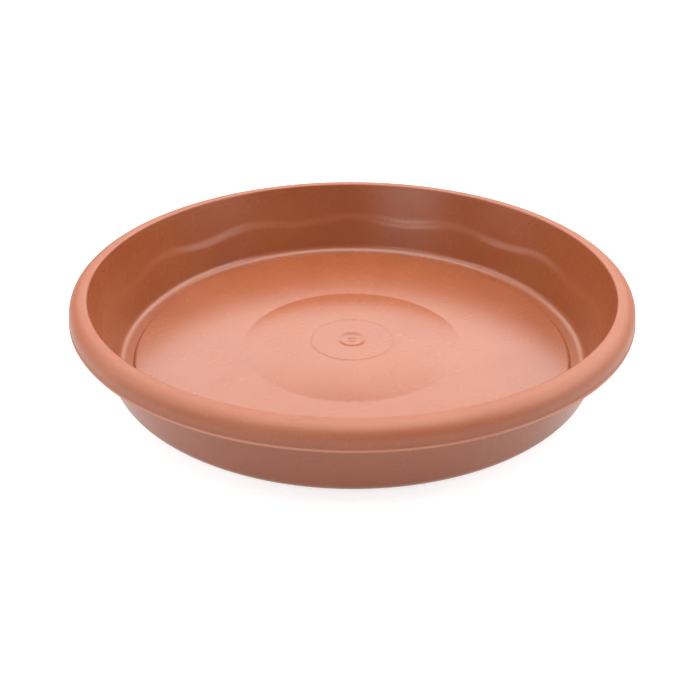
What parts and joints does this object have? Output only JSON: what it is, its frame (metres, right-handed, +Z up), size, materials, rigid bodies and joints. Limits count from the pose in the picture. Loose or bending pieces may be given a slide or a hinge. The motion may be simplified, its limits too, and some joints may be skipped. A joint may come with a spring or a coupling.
{
  "type": "plant saucer",
  "caption": "Round shallow plastic plant saucer with a hollow rolled rim, a foot ring and a gently domed floor, which catches water under a flower pot.",
  "frame": {"origin": "centre of the foot ring, in the plane that the saucer stands on", "axes": "+Z up along the saucer's axis, towards its open side"},
  "size_m": [0.3, 0.3, 0.046],
  "materials": {
    "terracotta_plastic": "satin moulded polypropylene, finely grained on the rim"
  },
  "bodies": {
    "root": {"saucer": "terracotta_plastic"}
  },
  "joints": []
}
